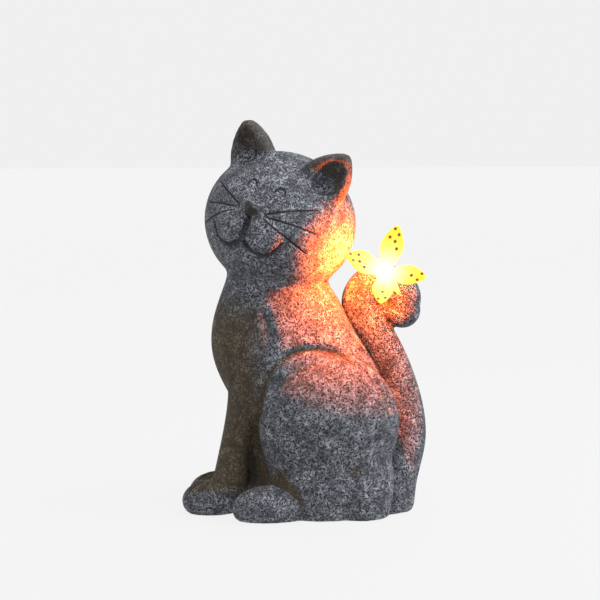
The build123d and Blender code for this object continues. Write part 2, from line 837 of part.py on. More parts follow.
panel_back = panel_frame.from_local_coords(Vector(0, 0, -4.5))
panel_inside = panel_frame.from_local_coords(Vector(0, 0, -18))
panel_lead_points = [
    tuple(panel_back),
    tuple(panel_inside),
    (-12.0, 29.0, 46.0),
    (-11.0, 29.0, board_top + 0.05),
]
panel_wire = tube(panel_lead_points, lead_radius)
with BuildPart() as panel_leads:
    add(panel_wire)
write(panel_leads.part, "panel_leads")

battery_wires = []
for side in (1, -1):
    tab_top = (side * 24.7, cell_y, 17.75)
    over = [(side * 24.7, cell_y, 24), (side * 19.0, 30.4, 24)]
    battery_wires.append(tube([tab_top, *over, (side * 19.0, 30.4, board_top + 0.05)], 0.6))
with BuildPart() as battery_leads:
    for wire in battery_wires:
        add(wire)
write(battery_leads.part, "battery_leads")
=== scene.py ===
import json
import math

import bpy
import numpy as np
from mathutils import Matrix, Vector
from mathutils.bvhtree import BVHTree
from mathutils.kdtree import KDTree


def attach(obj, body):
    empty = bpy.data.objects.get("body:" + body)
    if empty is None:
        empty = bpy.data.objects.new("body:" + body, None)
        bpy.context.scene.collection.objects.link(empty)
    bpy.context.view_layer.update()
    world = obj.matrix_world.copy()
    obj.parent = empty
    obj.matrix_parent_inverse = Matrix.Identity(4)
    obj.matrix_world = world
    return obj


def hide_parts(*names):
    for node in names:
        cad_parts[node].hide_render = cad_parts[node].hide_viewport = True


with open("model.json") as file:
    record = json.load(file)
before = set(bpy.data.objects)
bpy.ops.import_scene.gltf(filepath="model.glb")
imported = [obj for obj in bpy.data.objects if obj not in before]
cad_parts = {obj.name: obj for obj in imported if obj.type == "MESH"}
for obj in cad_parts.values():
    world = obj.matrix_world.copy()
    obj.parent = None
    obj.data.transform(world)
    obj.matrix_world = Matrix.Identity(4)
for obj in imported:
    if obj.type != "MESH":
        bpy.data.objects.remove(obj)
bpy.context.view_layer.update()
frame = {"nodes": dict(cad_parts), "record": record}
mm = 0.001

# camera, floor and lights
view = {"turn": 84.0, "rise": 6.0, "distance": 1.2, "lens": 109.09, "target": (0, -0.0023, 0.1382)}


def makeCamera():
    turn = math.radians(view["turn"])
    rise = math.radians(view["rise"])
    back = Vector((math.sin(turn) * math.cos(rise), -math.cos(turn) * math.cos(rise), math.sin(rise)))
    bpy.ops.object.camera_add(location=Vector(view["target"]) + back * view["distance"])
    camera = bpy.context.object
    camera.rotation_euler = back.to_track_quat("Z", "Y").to_euler()
    camera.data.lens = view["lens"]
    camera.data.sensor_width = 36
    camera.data.clip_start = 0.01
    bpy.context.scene.camera = camera


studio = {
    "skyGrey": 0.87,
    "floorGrey": 0.03,
    "floorGlow": 0.843,
    "topPower": 12.0,
    "backPower": 8.0,
    "lampPower": 2.7,
    "lampColour": (1.0, 0.13, 0.012),
    "lampReach": 26 * mm,
    "lampShift": -14 * mm,
    "lampRadius": 6 * mm,
    "aim": (0, 0, 0.13),
    "topPlace": (0.35, 0.35, 1.15),
    "topSize": 0.9,
    "topColour": (1, 1, 1),
    "backPlace": (0.2, 1.1, 0.55),
    "backSize": 0.7,
    "backColour": (0.94, 0.97, 1),
    "floorSize": 14,
    "floorDrop": 0.0002,
}


def makeAreaLight(name, place, size, power, colour):
    bpy.ops.object.light_add(type="AREA", location=place)
    light = bpy.context.object
    light.name = name
    light.data.size = size
    light.data.energy = power
    light.data.color = colour
    light.rotation_euler = (Vector(place) - Vector(studio["aim"])).to_track_quat("Z", "Y").to_euler()


def makeGlow(name, place, litPieces):
    # the glow of the wings, which passes through them and falls on the stone only
    bpy.ops.object.light_add(type="POINT", location=place)
    glow = bpy.context.object
    glow.name = name
    glow.data.energy = studio["lampPower"]
    glow.data.color = studio["lampColour"]
    glow.data.shadow_soft_size = studio["lampRadius"]
    glow.visible_camera = False
    stoneOnly = bpy.data.collections.new(name + "Stone")
    for piece in litPieces:
        stoneOnly.objects.link(piece)
    glow.light_linking.receiver_collection = stoneOnly
    glow.light_linking.blocker_collection = stoneOnly


def makeStudio():
    scene = bpy.context.scene
    world = bpy.data.worlds.new("studioSky")
    scene.world = world
    world.use_nodes = True
    sky = world.node_tree.nodes["Background"]
    sky.inputs["Color"].default_value = (studio["skyGrey"],) * 3 + (1,)
    sky.inputs["Strength"].default_value = 1.0
    scene.view_settings.view_transform = "Standard"
    bpy.ops.mesh.primitive_plane_add(size=studio["floorSize"], location=(0, 0, -studio["floorDrop"]))
    floor = bpy.context.object
    floor.name = "floor"
    floor.data.materials.append(makeFloorPaint())
    for side in ("top", "back"):
        place, size, power, colour = (studio[side + fact] for fact in ("Place", "Size", "Power", "Colour"))
        makeAreaLight(side + "Softbox", place, size, power, colour)


def makeFloorPaint():
    paint = bpy.data.materials.new("floorPaint")
    paint.use_nodes = True
    shader = paint.node_tree.nodes["Principled BSDF"]
    shader.inputs["Base Color"].default_value = (studio["floorGrey"],) * 3 + (1,)
    shader.inputs["Emission Color"].default_value = (1, 1, 1, 1)
    shader.inputs["Emission Strength"].default_value = studio["floorGlow"]
    shader.inputs["Roughness"].default_value = 0.9
    shader.inputs["Specular IOR Level"].default_value = 0.1
    # clear from below, so that the underside can be looked at
    tree = paint.node_tree
    side = tree.nodes.new("ShaderNodeNewGeometry")
    clear = tree.nodes.new("ShaderNodeBsdfTransparent")
    choice = tree.nodes.new("ShaderNodeMixShader")
    tree.links.new(side.outputs["Backfacing"], choice.inputs[0])
    tree.links.new(shader.outputs[0], choice.inputs[1])
    tree.links.new(clear.outputs[0], choice.inputs[2])
    tree.links.new(choice.outputs[0], tree.nodes["Material Output"].inputs["Surface"])
    return paint


makeCamera()
makeStudio()
print("camera and studio are set")


# small helpers for node trees
def newMaterial(name):
    material = bpy.data.materials.new(name)
    material.use_nodes = True
    tree = material.node_tree
    return material, tree, tree.nodes["Principled BSDF"]


def addNode(tree, kind, **settings):
    node = tree.nodes.new(kind)
    for key, value in settings.items():
        if key in node.inputs:
            node.inputs[key].default_value = value
        else:
            setattr(node, key, value)
    return node


def addMath(tree, operation, first, second=0.0, clamp=False):
    node = tree.nodes.new("ShaderNodeMath")
    node.operation = operation
    node.use_clamp = clamp
    for slot, value in enumerate((first, second)):
        if isinstance(value, (int, float)):
            node.inputs[slot].default_value = value
        else:
            tree.links.new(value, node.inputs[slot])
    return node.outputs[0]


def addMix(tree, factor, first, second):
    node = tree.nodes.new("ShaderNodeMix")
    node.data_type = "RGBA"
    for socket, value in ((node.inputs[0], factor), (node.inputs[6], first), (node.inputs[7], second)):
        if isinstance(value, (int, float)):
            socket.default_value = value
        elif isinstance(value, tuple):
            socket.default_value = value + (1,)
        else:
            tree.links.new(value, socket)
    return node.outputs[2]


def makeScratchGroup():
    # short crossing strokes: thin level lines of two noises, one turned against the other
    group = bpy.data.node_groups.new("scratchedRelief", "ShaderNodeTree")
    group.interface.new_socket("Vector", in_out="INPUT", socket_type="NodeSocketVector")
    for name, value in (("Stroke scale", 470.0), ("Stroke width", 15.0)):
        socket = group.interface.new_socket(name, in_out="INPUT", socket_type="NodeSocketFloat")
        socket.default_value = value
    group.interface.new_socket("Ridge", in_out="OUTPUT", socket_type="NodeSocketFloat")
    group.interface.new_socket("Height", in_out="OUTPUT", socket_type="NodeSocketFloat")
    start = group.nodes.new("NodeGroupInput")
    end = group.nodes.new("NodeGroupOutput")
    ridges = []
    for turn, factor in ((0.0, 1.0), (1.1, 1.15)):
        mapping = group.nodes.new("ShaderNodeMapping")
        mapping.inputs["Rotation"].default_value = (turn, turn * 0.7, turn * 1.3)
        mapping.inputs["Location"].default_value = (turn, 2 * turn, 3 * turn)
        group.links.new(start.outputs["Vector"], mapping.inputs["Vector"])
        noise = group.nodes.new("ShaderNodeTexNoise")
        noise.inputs["Detail"].default_value = 0.4
        noise.inputs["Distortion"].default_value = 0.9
        scale = addMath(group, "MULTIPLY", start.outputs["Stroke scale"], factor)
        group.links.new(scale, noise.inputs["Scale"])
        group.links.new(mapping.outputs["Vector"], noise.inputs["Vector"])
        offset = addMath(group, "SUBTRACT", noise.outputs["Fac"], 0.5)
        distance = addMath(group, "ABSOLUTE", offset)
        scaled = addMath(group, "MULTIPLY", distance, start.outputs["Stroke width"])
        ridges.append(addMath(group, "SUBTRACT", 1.25, scaled, clamp=True))
    joined = addMath(group, "MAXIMUM", ridges[0], ridges[1])
    grain = group.nodes.new("ShaderNodeTexNoise")
    grain.inputs["Detail"].default_value = 3.0
    group.links.new(start.outputs["Vector"], grain.inputs["Vector"])
    group.links.new(addMath(group, "MULTIPLY", start.outputs["Stroke scale"], 2.7), grain.inputs["Scale"])
    height = addMath(group, "ADD", joined, addMath(group, "MULTIPLY", grain.outputs["Fac"], 0.35))
    group.links.new(joined, end.inputs["Ridge"])
    group.links.new(height, end.inputs["Height"])
    return group


def makeGrainGroup():
    # even mottling and fine grain for moulded, plated and painted small parts
    group = bpy.data.node_groups.new("fineGrain", "ShaderNodeTree")
    group.interface.new_socket("Vector", in_out="INPUT", socket_type="NodeSocketVector")
    socket = group.interface.new_socket("Grain scale", in_out="INPUT", socket_type="NodeSocketFloat")
    socket.default_value = 900.0
    group.interface.new_socket("Mottle", in_out="OUTPUT", socket_type="NodeSocketFloat")
    group.interface.new_socket("Grain", in_out="OUTPUT", socket_type="NodeSocketFloat")
    start = group.nodes.new("NodeGroupInput")
    end = group.nodes.new("NodeGroupOutput")
    for output, factor, detail in (("Mottle", 0.12, 3.0), ("Grain", 1.0, 2.0)):
        noise = group.nodes.new("ShaderNodeTexNoise")
        noise.inputs["Detail"].default_value = detail
        group.links.new(start.outputs["Vector"], noise.inputs["Vector"])
        scale = addMath(group, "MULTIPLY", start.outputs["Grain scale"], factor)
        group.links.new(scale, noise.inputs["Scale"])
        group.links.new(noise.outputs["Fac"], end.inputs[output])
    return group


scratchGroup = makeScratchGroup()
grainGroup = makeGrainGroup()

# the painted stone finish
stone = {
    "recess": (0.009, 0.010, 0.014),
    "body": (0.026, 0.028, 0.038),
    "ridge": (0.46, 0.485, 0.545),
    # dark brown, laid as painted shade and on the fronts of the ears
    "brownAndShade": (0.045, 0.025, 0.007),
    "paint": (0.004, 0.004, 0.004),
    "nose": (0.006, 0.003, 0.0025),
    "reliefDepth": 0.0010,
}


def makeStoneFinish():
    material, tree, shader = newMaterial("scratchedStoneResin")
    place = addNode(tree, "ShaderNodeTexCoord").outputs["Object"]
    scratch = addNode(tree, "ShaderNodeGroup", node_tree=scratchGroup)
    tree.links.new(place, scratch.inputs["Vector"])
    masks = {name: addNode(tree, "ShaderNodeAttribute", attribute_name=name).outputs["Fac"]
             for name in ("brownAndShade", "paint", "nose", "bare")}
    broad = addNode(tree, "ShaderNodeTexNoise", Scale=26.0, Detail=3.0)
    tree.links.new(place, broad.inputs["Vector"])
    fine = addNode(tree, "ShaderNodeTexNoise", Scale=120.0, Detail=4.0)
    tree.links.new(place, fine.inputs["Vector"])
    # pale dry-brushing catches the ridges unevenly, and less on the smooth ears
    brushed = addMath(tree, "SUBTRACT", fine.outputs["Fac"], 0.18)
    brushed = addMath(tree, "MULTIPLY", brushed, 1.55, clamp=True)
    ridge = addMath(tree, "POWER", scratch.outputs["Ridge"], 0.9)
    keep = addMath(tree, "SUBTRACT", 1.0, addMath(tree, "MULTIPLY", masks["bare"], 0.5))
    ridge = addMath(tree, "MULTIPLY", addMath(tree, "MULTIPLY", ridge, brushed), keep, clamp=True)
    ground = addMath(tree, "SUBTRACT", broad.outputs["Fac"], 0.2)
    ground = addMath(tree, "MULTIPLY", ground, 1.5, clamp=True)
    colour = addMix(tree, ground, stone["recess"], stone["body"])
    colour = addMix(tree, ridge, colour, stone["ridge"])
    # painted shade: dark brown laid over the stone by the shade mask, thinned by broad noise, with pale tan
    # dry-brushing kept on its ridges
    brownShadedColour = addMix(tree, 0.85, colour, stone["brownAndShade"])
    brownShadedColour = addMix(tree, addMath(tree, "MULTIPLY", ridge, 0.42), brownShadedColour, (0.30, 0.245, 0.14))
    brownShadeAmount = addMath(tree, "ADD", masks["brownAndShade"], addMath(tree, "SUBTRACT", broad.outputs["Fac"], 0.4))
    onset = addMath(tree, "MINIMUM", 1.0, addMath(tree, "MULTIPLY", masks["brownAndShade"], 6.0))
    brownShadeAmount = addMath(tree, "MULTIPLY", brownShadeAmount, onset, clamp=True)
    colour = addMix(tree, brownShadeAmount, colour, brownShadedColour)
    colour = addMix(tree, masks["paint"], colour, stone["paint"])
    colour = addMix(tree, masks["nose"], colour, stone["nose"])
    tree.links.new(colour, shader.inputs["Base Color"])
    rough = addMath(tree, "SUBTRACT", 0.74, addMath(tree, "MULTIPLY", masks["nose"], 0.40))
    rough = addMath(tree, "SUBTRACT", rough, addMath(tree, "MULTIPLY", masks["bare"], 0.12))
    tree.links.new(rough, shader.inputs["Roughness"])
    shader.inputs["Specular IOR Level"].default_value = 0.35
    flat = addMath(tree, "SUBTRACT", keep, addMath(tree, "ADD", masks["nose"], masks["paint"]), clamp=True)
    height = addMath(tree, "MULTIPLY", scratch.outputs["Height"], flat)
    bump = addNode(tree, "ShaderNodeBump", Strength=1.0, Distance=stone["reliefDepth"])
    tree.links.new(height, bump.inputs["Height"])
    tree.links.new(bump.outputs["Normal"], shader.inputs["Normal"])
    return material


# mesh helpers
def activate(piece):
    bpy.ops.object.select_all(action="DESELECT")
    piece.select_set(True)
    bpy.context.view_layer.objects.active = piece


def copyOfNode(node, name):
    # a closed copy of a CAD node's loose triangles
    source = frame["nodes"][node]
    piece = bpy.data.objects.new(name, source.data.copy())
    piece.data.materials.clear()
    bpy.context.scene.collection.objects.link(piece)
    activate(piece)
    bpy.ops.object.mode_set(mode="EDIT")
    bpy.ops.mesh.select_all(action="SELECT")
    bpy.ops.mesh.remove_doubles(threshold=0.000005)
    bpy.ops.object.mode_set(mode="OBJECT")
    return piece


def applyModifier(piece, kind, **settings):
    activate(piece)
    modifier = piece.modifiers.new(kind.lower(), kind)
    for key, value in settings.items():
        setattr(modifier, key, value)
    bpy.ops.object.modifier_apply(modifier=modifier.name)


def remeshed(piece, voxel, rounds):
    applyModifier(piece, "REMESH", mode="VOXEL", voxel_size=voxel, use_smooth_shade=True)
    applyModifier(piece, "SMOOTH", factor=0.5, iterations=rounds)


def readPlaces(piece):
    places = np.zeros(len(piece.data.vertices) * 3, np.float32)
    piece.data.vertices.foreach_get("co", places)
    return places.reshape(-1, 3).astype(float)


def standFlat(piece):
    # nothing reaches below the ground
    places = readPlaces(piece)
    places[:, 2] = np.maximum(places[:, 2], 0)
    writePlaces(piece, places)


def readNormals(piece):
    normals = np.zeros(len(piece.data.vertices) * 3, np.float32)
    piece.data.vertices.foreach_get("normal", normals)
    return normals.reshape(-1, 3).astype(float)


def writePlaces(piece, places):
    piece.data.vertices.foreach_set("co", places.astype(np.float32).ravel())
    piece.data.update()


def writeMask(piece, name, values):
    mask = piece.data.attributes.new(name, "FLOAT", "POINT")
    mask.data.foreach_set("value", np.clip(values, 0, 1).astype(np.float32))


def hollowness(piece, rounds):
    # how far each point lies below the average of its neighbourhood
    edges = np.zeros(len(piece.data.edges) * 2, np.int32)
    piece.data.edges.foreach_get("vertices", edges)
    ends = edges.reshape(-1, 2)
    places = readPlaces(piece)
    count = np.bincount(ends.ravel(), minlength=len(places))[:, None]
    soft = places.copy()
    for _ in range(rounds):
        total = np.zeros_like(soft)
        for axis in range(3):
            for near, far in ((ends[:, 0], ends[:, 1]), (ends[:, 1], ends[:, 0])):
                total[:, axis] += np.bincount(near, soft[far, axis], len(places))
        soft = total / np.maximum(count, 1)
    return ((soft - places) * readNormals(piece)).sum(1)


def easeIn(value, low, high):
    t = np.clip((value - low) / (high - low), 0, 1)
    return t * t * (3 - 2 * t)


# the cat
head = {"centre": Vector((3, -15.6, 190)) * mm, "turn": 60, "roll": 18, "radius": 48.5}
turnAngle = math.radians(head["turn"])
rollAngle = math.radians(head["roll"])
headForward = Vector((math.sin(turnAngle), -math.cos(turnAngle), 0))
levelLeft = Vector((math.cos(turnAngle), math.sin(turnAngle), 0))
headLeft = levelLeft * math.cos(rollAngle) - Vector((0, 0, math.sin(rollAngle)))
headUp = levelLeft * math.sin(rollAngle) + Vector((0, 0, math.cos(rollAngle)))

# lines of the face as (left, up) in millimetres on the head's ball, with half width, depth and paint
faceLines = [
    {"points": [(7.4, 10.2), (20.5, 16.6), (34.1, 21.3)], "width": 0.42, "depth": 0.75, "paint": 1.0},
    {"points": [(8.4, 9.3), (24.0, 9.2), (38.9, 7.1)], "width": 0.42, "depth": 0.75, "paint": 1.0},
    {"points": [(8.0, 7.8), (22.6, 1.6), (36.2, -6.4)], "width": 0.42, "depth": 0.75, "paint": 1.0},
    {"points": [(-10.4, 10.8), (-23.0, 14.4), (-35.0, 16.8)], "width": 0.42, "depth": 0.75, "paint": 1.0},
    {"points": [(-11.6, 8.9), (-25.0, 6.2), (-38.0, 1.8)], "width": 0.42, "depth": 0.75, "paint": 1.0},
    {"points": [(-11.4, 7.0), (-25.6, -1.6), (-37.8, -12.4)], "width": 0.42, "depth": 0.75, "paint": 1.0},
    {"points": [(7.2, 24.2), (8.2, 27.0), (10.6, 28.4), (13.0, 27.2), (14.1, 24.2)],
     "width": 0.5, "depth": 0.8, "paint": 1.0},
    {"points": [(-5.6, 24.4), (-6.8, 26.9), (-9.2, 27.9), (-11.4, 26.5), (-12.4, 23.2)],
     "width": 0.5, "depth": 0.8, "paint": 1.0},
    {"points": [(-0.6, 6.0), (-0.8, 1.0), (-1.0, -4.0), (-1.0, -8.6)],
     "width": 1.4, "depth": 2.2, "paint": 0.7},
    {"points": [(-1.0, -8.0), (2.6, -11.6), (8.2, -14.4), (14.4, -14.2), (19.4, -10.4), (22.8, -3.4)],
     "width": 1.5, "depth": 2.6, "paint": 0.8},
    {"points": [(-1.0, -8.0), (-4.6, -12.0), (-10.4, -15.6), (-17.0, -15.6), (-22.6, -12.2), (-26.4, -6.4)],
     "width": 1.5, "depth": 2.6, "paint": 0.8},
]

# toe creases as (centre of the paw, then directions out of it)
toes = [
    {"centre": (14, -62, 8.5), "turns": (-17, 17), "reach": (6, 70)},
    {"centre": (-14, -56, 8.5), "turns": (-17, 17), "reach": (6, 70)},
    {"centre": (38, -30, 7.5), "turns": (-20, 16), "reach": (4, 66)},
    {"centre": (-38, -30, 7.5), "turns": (-16, 20), "reach": (4, 66)},
]
crease = {"width": 0.8, "depth": 1.3, "paint": 0.35}

panelCentre = Vector((-43.5, 14, 92)) * mm
panelClearance = 34 * mm

# broad soft furrows on both flanks as (back, height): round the haunch, and behind the shoulder
furrows = [
    {"points": [(-27, 27), (-32, 45), (-33, 62), (-31, 79), (-27, 92), (-20, 102), (-8, 109), (6, 110),
                (20, 106), (33, 98), (45, 86), (52, 73)], "width": 2.5, "depth": 2.3},
    {"points": [(-28, 132), (-25, 117), (-27, 105), (-33, 93)], "width": 2.8, "depth": 1.5},
]


def smoothLine(points, steps):
    # a smooth line through the points, ends included
    ends = [points[0]] + list(points) + [points[-1]]
    line = []
    for index in range(1, len(ends) - 2):
        before, first, second, after = (Vector(ends[index + k]) for k in (-1, 0, 1, 2))
        for step in range(steps):
            t = step / steps
            slope = (second - before) * t
            bend = (2 * before - 5 * first + 4 * second - after) * t * t
            twist = (3 * first - before - 3 * second + after) * t ** 3
            line.append(0.5 * (2 * first + slope + bend + twist))
    line.append(Vector(points[-1]))
    return line


def faceStrokes(surface):
    strokes = []
    for line in faceLines:
        places = []
        for point in smoothLine([(left, up, 0) for left, up in line["points"]], 60):
            ahead = math.sqrt(head["radius"] ** 2 - point.x ** 2 - point.y ** 2)
            out = (headLeft * point.x + headUp * point.y + headForward * ahead).normalized()
            hit = surface.ray_cast(head["centre"] + out * 0.09, -out)[0]
            if hit is not None:
                places.append(hit)
        strokes.append((places, line))
    return strokes


def pressFurrows(piece, surface):
    places = readPlaces(piece)
    normals = readNormals(piece)
    for furrow in furrows:
        line = []
        for side in (1, -1):
            for back, height, _ in smoothLine([(b, h, 0) for b, h in furrow["points"]], 14):
                point = surface.ray_cast(Vector((side * 90, back, height)) * mm, Vector((-side, 0, 0)))[0]
                if point is None or side * point.x < 15 * mm:
                    continue
                if (point - panelCentre).length > panelClearance:
                    line.append(point)
        tree = KDTree(len(line))
        for index, point in enumerate(line):
            tree.insert(point, index)
        tree.balance()
        distance = np.array([tree.find(place)[2] for place in places]) / mm
        depth = furrow["depth"] * np.exp(-(distance / furrow["width"]) ** 2)
        places = places - normals * depth[:, None] * mm
    writePlaces(piece, places)


def softenNeck(piece):
    height = readPlaces(piece)[:, 2] / mm
    weights = easeIn(height, 126, 140) * (1 - easeIn(height, 154, 168))
    group = piece.vertex_groups.new(name="neck")
    for index in np.nonzero(weights > 0.01)[0]:
        group.add([int(index)], float(weights[index]), "REPLACE")
    applyModifier(piece, "SMOOTH", factor=0.5, iterations=40, vertex_group="neck")
    piece.vertex_groups.clear()


def toeStrokes(surface):
    strokes = []
    for paw in toes:
        centre = Vector(paw["centre"]) * mm
        for turn in paw["turns"]:
            places = []
            for step in range(60):
                rise = math.radians(paw["reach"][0] + (paw["reach"][1] - paw["reach"][0]) * step / 59)
                side = math.radians(turn)
                level = Vector((math.sin(side), -math.cos(side), 0))
                out = level * math.cos(rise) + Vector((0, 0, math.sin(rise)))
                hit = surface.ray_cast(centre + out * 0.06, -out)[0]
                if hit is not None and (hit - centre).length < 0.03:
                    places.append(hit)
            if len(places) > 10:
                strokes.append((places, crease))
    return strokes


def refineNear(piece, tree, reach, cuts):
    # splits the faces that lie near the strokes into smaller ones
    activate(piece)
    mesh = piece.data
    near = [tree.find(face.center)[2] < reach for face in mesh.polygons]
    mesh.polygons.foreach_set("select", near)
    mesh.edges.foreach_set("select", [False] * len(mesh.edges))
    mesh.vertices.foreach_set("select", [False] * len(mesh.vertices))
    bpy.ops.object.mode_set(mode="EDIT")
    bpy.ops.mesh.select_mode(type="FACE")
    bpy.ops.object.mode_set(mode="OBJECT")
    mesh.polygons.foreach_set("select", near)
    bpy.ops.object.mode_set(mode="EDIT")
    bpy.ops.mesh.subdivide(number_cuts=cuts, smoothness=0.0)
    bpy.ops.object.mode_set(mode="OBJECT")


catMesh = {"voxel": 1.58 * mm, "smoothing": 4, "bandReach": 2.3 * mm, "bandCuts": 2}


def engrave(piece, strokes):
    # cuts each stroke into the skin and returns where its paint lies
    total = sum(len(places) for places, _ in strokes)
    tree = KDTree(total)
    facts = []
    for places, line in strokes:
        for step, place in enumerate(places):
            along = step / max(len(places) - 1, 1)
            taper = 0.45 + 0.55 * min(1.0, 6 * along, 6 * (1 - along))
            tree.insert(place, len(facts))
            facts.append((line["width"] * mm * taper, line["depth"] * mm * taper, line["paint"]))
    tree.balance()
    refineNear(piece, tree, catMesh["bandReach"], catMesh["bandCuts"])
    places = readPlaces(piece)
    normals = readNormals(piece)
    paint = np.zeros(len(places))
    depth = np.zeros(len(places))
    for index, place in enumerate(places):
        _, which, distance = tree.find(place)
        width, deep, colour = facts[which]
        if distance < 4 * width:
            depth[index] = deep * math.exp(-(distance / width / 1.15) ** 2)
            paint[index] = colour * min(1.0, max(0.0, 1.75 - distance / width))
    writePlaces(piece, places - normals * depth[:, None])
    return paint


def earMask(left, up, ahead):
    # 1 on the smooth ears, which stand out of the head's ball
    away = np.sqrt(left ** 2 + (up * 1.05) ** 2 + ahead ** 2)
    return easeIn(away, 51.5, 54.5) * easeIn(up, 14, 20)


def noseMask(left, up, ahead):
    # 1 on the nose, a triangle with its point down
    slope = 6.6 * np.clip((up - 4.2) / 7.5, 0, 1) - np.abs(left + 0.4)
    return easeIn(slope, 0, 0.7) * (1 - easeIn(up, 14.2, 15.0)) * easeIn(ahead, 40, 44)


def brownAndShadeMask(x, y, z, hollow):
    # painted shade in brown on the chest and front legs, which face away from the light, between them and the
    # belly, and in every deep crease
    front = (1 - easeIn(y, -46, -22)) * easeIn(z, 14, 30) * (1 - easeIn(z, 118, 150))
    between = (1 - easeIn(y, -30, -12)) * easeIn(z, 10, 22) * (1 - easeIn(z, 80, 112))
    between = between * (1 - easeIn(abs(x), 20, 34))
    creases = easeIn(hollow, 0.3, 1.4) * (1 - easeIn(z, 120, 135))
    return 0.9 * front + between + 1.3 * creases


def makeCat():
    cat = copyOfNode("cat_casting", "catBody")
    remeshed(cat, catMesh["voxel"], catMesh["smoothing"])
    softenNeck(cat)
    pressFurrows(cat, BVHTree.FromObject(cat, bpy.context.evaluated_depsgraph_get()))
    surface = BVHTree.FromObject(cat, bpy.context.evaluated_depsgraph_get())
    paint = engrave(cat, faceStrokes(surface) + toeStrokes(surface))
    standFlat(cat)
    places = readPlaces(cat)
    hollow = hollowness(cat, 40) / mm
    inHead = (places - np.array(head["centre"])) / mm
    left, up, ahead = (inHead @ np.array(axis) for axis in (headLeft, headUp, headForward))
    bare = earMask(left, up, ahead)
    x, y, z = (places / mm).T
    writeMask(cat, "paint", paint)
    writeMask(cat, "nose", noseMask(left, up, ahead))
    writeMask(cat, "bare", bare)
    # the mask is painted shade on the body, with brown added on the fronts of the ears
    writeMask(cat, "brownAndShade", brownAndShadeMask(x, y, z, hollow) + 0.5 * bare * easeIn(ahead, -16, 0))
    return cat


tailMesh = {"voxel": 1.2 * mm, "smoothing": 3}


def makeTail():
    tail = copyOfNode("tail_casting", "catTail")
    remeshed(tail, tailMesh["voxel"], tailMesh["smoothing"])
    standFlat(tail)
    hollow = hollowness(tail, 30) / mm
    # painted shade in the tail's creases
    writeMask(tail, "brownAndShade", easeIn(hollow, 0.3, 1.2))
    return tail


stoneFinish = makeStoneFinish()
cat = makeCat()
tail = makeTail()
for piece, node in ((cat, "cat_casting"), (tail, "tail_casting")):
    piece.data.materials.append(stoneFinish)
    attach(piece, "figurine")
    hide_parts(node)
    print(piece.name, "has", len(piece.data.vertices), "points")

# the lit butterfly
lamp = {"centre": Vector((0, 51.7, 152)), "lean": 20, "height": 17, "headAngle": 119}
lean = math.radians(lamp["lean"])
lampAxis = Vector((math.cos(lean), 0, math.sin(lean)))
wingRoot = (lamp["centre"] + lampAxis * lamp["height"]) * mm
tilt = math.radians(lamp["headAngle"])
flyAhead = Vector((-math.sin(lean) * math.sin(tilt), math.cos(tilt), math.cos(lean) * math.sin(tilt)))
flySide = lampAxis.cross(flyAhead)

wings = {
    "voxel": 0.55 * mm,
    "dotRadius": 1.0,
    "fore": {"angle": 45, "dots": [(27, -1.2), (24, 2.4), (21.2, -3.2), (19.4, 1.0), (15.2, 3.4)]},
    "hind": {"angle": 137, "dots": [(24, -2.0), (22, 2.8), (17.6, 0.2)]},
}
butterfly = {
    "yellow": (0.40, 0.26, 0.004),
    "edge": (0.55, 0.42, 0.05),
    "spot": (0.10, 0.006, 0.003),
    "glowYellow": (0.92, 0.66, 0.0),
    "glowCentre": (1.6, 1.5, 1.15),
    "glowStrength": 0.9,
}


def wingDots():
    dots = []
    for wing in (wings["fore"], wings["hind"]):
        for side in (-1, 1):
            angle = math.radians(wing["angle"])
            out = flyAhead * math.cos(angle) + flySide * (side * math.sin(angle))
            across = lampAxis.cross(out)
            dots += [(out * reach + across * offset * side) * mm for reach, offset in wing["dots"]]
    return [np.array(dot) for dot in dots]


def flatOffset(places):
    # places measured in the butterfly's plane, seen along the lamp's axis
    offset = places - np.array(wingRoot)
    return offset - np.outer(offset @ np.array(lampAxis), np.array(lampAxis))


def pointedTips(places):
    # each wing narrows towards a soft point past its middle
    flat = flatOffset(places)
    bearing = np.degrees(np.arctan2(flat @ np.array(flySide), flat @ np.array(flyAhead)))
    reach = np.linalg.norm(flat, axis=1) / mm
    for middle in (-137, -45, 45, 137):
        angle = math.radians(middle)
        out = np.array(flyAhead) * math.cos(angle) + np.array(flySide) * math.sin(angle)
        across = np.cross(np.array(lampAxis), out)
        near = np.abs((bearing - middle + 180) % 360 - 180) < 40
        narrow = (0.10 + 0.40 * np.clip((reach - 15) / 17, 0, 1) ** 1.5) * easeIn(reach, 7, 13) * near
        places = places - np.outer((flat @ across) * narrow, across)
    return places


def makeWings():
    piece = copyOfNode("butterfly_wings", "butterflyWings")
    remeshed(piece, wings["voxel"], 2)
    places = pointedTips(readPlaces(piece))
    flat = flatOffset(places)
    spots = np.zeros(len(places))
    for dot in wingDots():
        distance = np.linalg.norm(flat - dot * 0.94, axis=1) / mm
        spots = np.maximum(spots, 1 - easeIn(distance, wings["dotRadius"] - 0.35, wings["dotRadius"] + 0.35))
    reach = np.linalg.norm(flat, axis=1) / mm
    # veins: shallow grooves that fan out from the root of each wing
    bearing = np.degrees(np.arctan2(flat @ np.array(flySide), flat @ np.array(flyAhead)))
    veins = np.zeros(len(places))
    for middle in (-137, -45, 45, 137):
        for spread in (-14, -5, 5, 14):
            across = np.abs(bearing - middle - spread) * np.pi / 180 * reach
            ends = easeIn(reach, 6, 10) * (1 - easeIn(reach, 24, 30))
            veins = np.maximum(veins, np.exp(-(across / 0.45) ** 2) * ends)
    writePlaces(piece, places - readNormals(piece) * (veins * 0.22 * mm)[:, None])
    writeMask(piece, "spot", spots)
    writeMask(piece, "vein", veins)
    writeMask(piece, "centre", np.exp(-(reach / 11) ** 2))
    return piece


